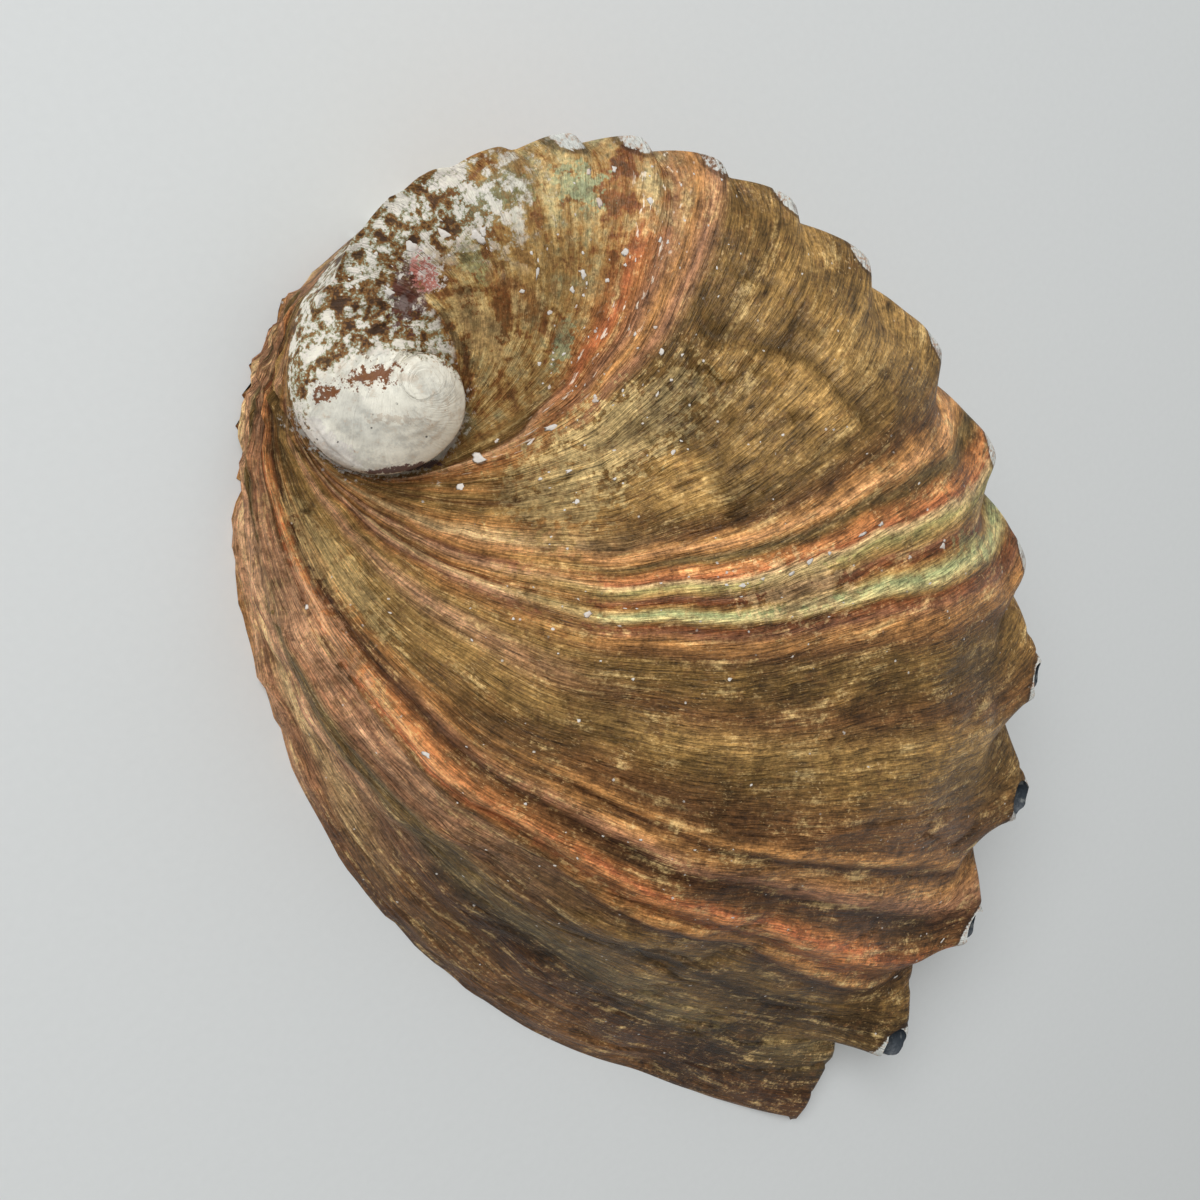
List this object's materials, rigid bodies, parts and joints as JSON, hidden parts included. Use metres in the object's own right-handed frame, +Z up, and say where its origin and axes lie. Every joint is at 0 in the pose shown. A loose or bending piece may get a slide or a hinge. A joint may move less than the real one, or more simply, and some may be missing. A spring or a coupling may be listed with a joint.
{
  "type": "abalone shell",
  "caption": "Ear-shaped abalone shell with a low spire, a knobbed row of breathing holes and an open hollow underside.",
  "frame": {"origin": "middle of the footprint, on the plane that the shell's rim rests on", "axes": "+Z up from the rim, +Y along the shell's length towards the spire end, +X towards the row of breathing holes"},
  "size_m": [0.0958, 0.147, 0.0384],
  "materials": {
    "shell": "satin olive-brown grown shell with fine growth lines"
  },
  "bodies": {
    "root": {"shell": "shell"}
  },
  "joints": []
}
